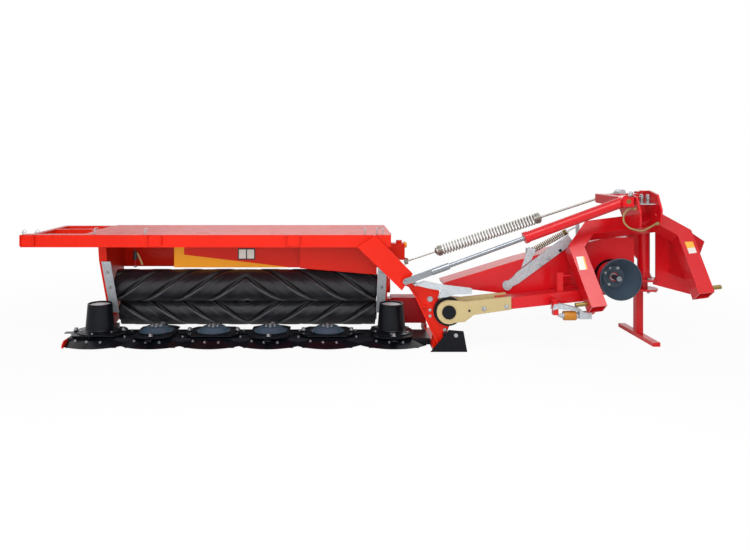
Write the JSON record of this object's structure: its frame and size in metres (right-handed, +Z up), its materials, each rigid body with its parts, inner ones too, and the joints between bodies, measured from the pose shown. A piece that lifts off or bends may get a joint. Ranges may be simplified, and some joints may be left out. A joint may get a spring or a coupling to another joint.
{
  "type": "rear-mounted disc mower conditioner",
  "caption": "Rear-mounted disc mower with a rubber roller conditioner, folding on a side arm behind a three-point headstock, parked on its cutterbar and stand.",
  "frame": {"origin": "centre of the parking stand foot's sole, on the ground", "axes": "+X towards the machine's hitch side away from the cutterbar, +Y rearward away from the tractor, +Z up"},
  "size_m": [4.673, 1.0072, 1.0703],
  "materials": {
    "red_paint": "gloss",
    "frame_red": "gloss",
    "dark_red": "satin",
    "black_paint": "gloss",
    "yellow_film": "gloss",
    "galvanised": "matte",
    "spring_steel": "satin",
    "bright_steel": "polished",
    "pin_steel": "satin",
    "tan_paint": "satin",
    "rubber": "satin",
    "shield_plastic": "satin",
    "buffer_amber": "satin",
    "gold_steel": "polished",
    "hose_plastic": "satin"
  },
  "bodies": {
    "headstock": {"headstock_arch": "frame_red", "hitch_pins": "pin_steel", "top_link_bracket": "frame_red", "column_pin": "frame_red", "column_frame": "frame_red", "turret_hose": "hose_plastic"},
    "stand": {"parking_stand": "frame_red"},
    "arm": {"arm_plates": "tan_paint", "arm_tube": "frame_red", "lift_pin": "black_paint", "belt_guard": "frame_red", "arm_sleeve": "frame_red", "spring_bracket": "galvanised", "input_shield": "shield_plastic", "input_housing": "frame_red", "cylinder_pin": "pin_steel", "guard_brace": "galvanised", "input_ring": "black_paint", "release_link": "galvanised", "release_buffer": "buffer_amber", "lock_spring": "gold_steel", "lock_rod": "galvanised"},
    "input_shaft": {"input_stub": "bright_steel"},
    "mower": {"cutterbar": "black_paint", "skids": "black_paint", "outer_shoe": "red_paint", "cover": "red_paint", "front_beam": "red_paint", "side_plate_outer": "red_paint", "side_plate_inner": "red_paint", "guard_strips": "galvanised", "end_frame": "red_paint", "front_panel": "red_paint", "panel_stripe": "yellow_film", "support_channel": "red_paint", "inner_bracket": "red_paint", "hub_flange": "black_paint", "inner_shoe": "black_paint", "latch_plate": "galvanised", "rear_box": "dark_red", "rear_link": "dark_red", "drive_box": "red_paint", "spring_lug": "dark_red"},
    "upper_roller": {"roller_upper": "rubber"},
    "lower_roller": {"roller_lower": "rubber"},
    "cylinder": {"cylinder_barrel": "frame_red"},
    "rod": {"cylinder_rod": "bright_steel"},
    "spring": {"spring_coil": "spring_steel", "spring_anchor": "spring_steel"},
    "spring_slider": {"spring_rod": "spring_steel"},
    "rotor_1": {"rotor_disc_1": "black_paint"},
    "rotor_2": {"rotor_disc_2": "black_paint"},
    "rotor_3": {"rotor_disc_3": "black_paint"},
    "rotor_4": {"rotor_disc_4": "black_paint"},
    "rotor_5": {"rotor_disc_5": "black_paint"},
    "rotor_6": {"rotor_disc_6": "black_paint"}
  },
  "joints": [
    {"name": "breakaway", "type": "hinge", "parent": "headstock", "child": "arm", "pos_m": [0, -0.083, 0.7], "axis": [0, 0, -1], "range_deg": [0, 20]},
    {"name": "stand_slide", "type": "slide", "parent": "headstock", "child": "stand", "axis": [0, 0, 1], "range_m": [0, 0.29]},
    {"name": "input_spin", "type": "hinge", "parent": "arm", "child": "input_shaft", "pos_m": [-0.282, -0.3, 0.472], "axis": [0, -1, 0], "continuous": true},
    {"name": "lift", "type": "hinge", "parent": "arm", "child": "mower", "pos_m": [-1.4355, -0.33, 0.264], "axis": [0, 1, 0], "range_deg": [-15, 85]},
    {"name": "cylinder_swing", "type": "hinge", "parent": "arm", "child": "cylinder", "pos_m": [-0.3, -0.475, 1.003], "axis": [0, 1, 0], "range_deg": [-4.3, 0.8]},
    {"name": "rod_slide", "type": "slide", "parent": "cylinder", "child": "rod", "axis": [0.9386, 0, 0.345], "range_m": [-0.09, 0.485]},
    {"name": "spring_swing", "type": "hinge", "parent": "arm", "child": "spring", "pos_m": [-0.133, 0.05, 1.037], "axis": [0, 1, 0], "range_deg": [-7.9, 1.4]},
    {"name": "spring_slide", "type": "slide", "parent": "spring", "child": "spring_slider", "axis": [0.9498, 0, 0.3128], "range_m": [-0.08, 0.445], "deforming": ["spring_coil"]},
    {"name": "upper_roller_spin", "type": "hinge", "parent": "mower", "child": "upper_roller", "pos_m": [-2.837, 0.132, 0.345], "axis": [1, 0, 0], "continuous": true},
    {"name": "lower_roller_spin", "type": "hinge", "parent": "mower", "child": "lower_roller", "pos_m": [-2.837, 0.249, 0.14], "axis": [1, 0, 0], "continuous": true},
    {"name": "rotor_1_spin", "type": "hinge", "parent": "mower", "child": "rotor_1", "pos_m": [-3.84, -0.118, 0.06], "axis": [0, 0, 1], "continuous": true},
    {"name": "rotor_2_spin", "type": "hinge", "parent": "mower", "child": "rotor_2", "pos_m": [-3.44, -0.118, 0.06], "axis": [0, 0, 1], "continuous": true},
    {"name": "rotor_3_spin", "type": "hinge", "parent": "mower", "child": "rotor_3", "pos_m": [-3.04, -0.118, 0.06], "axis": [0, 0, 1], "continuous": true},
    {"name": "rotor_4_spin", "type": "hinge", "parent": "mower", "child": "rotor_4", "pos_m": [-2.64, -0.118, 0.06], "axis": [0, 0, 1], "continuous": true},
    {"name": "rotor_5_spin", "type": "hinge", "parent": "mower", "child": "rotor_5", "pos_m": [-2.24, -0.118, 0.06], "axis": [0, 0, 1], "continuous": true},
    {"name": "rotor_6_spin", "type": "hinge", "parent": "mower", "child": "rotor_6", "pos_m": [-1.79, -0.118, 0.06], "axis": [0, 0, 1], "continuous": true}
  ],
  "couplings": [
    {"joint": "cylinder_swing", "follows": "lift", "ratio": -0.0494},
    {"joint": "rod_slide", "follows": "lift", "m_per_rad": 0.3236},
    {"joint": "spring_swing", "follows": "lift", "ratio": -0.0921},
    {"joint": "spring_slide", "follows": "lift", "m_per_rad": 0.2968},
    {"joint": "lower_roller_spin", "follows": "upper_roller_spin", "ratio": -1},
    {"joint": "rotor_2_spin", "follows": "rotor_1_spin", "ratio": -1},
    {"joint": "rotor_3_spin", "follows": "rotor_1_spin", "ratio": 1},
    {"joint": "rotor_4_spin", "follows": "rotor_1_spin", "ratio": -1},
    {"joint": "rotor_5_spin", "follows": "rotor_1_spin", "ratio": 1},
    {"joint": "rotor_6_spin", "follows": "rotor_1_spin", "ratio": -1}
  ]
}
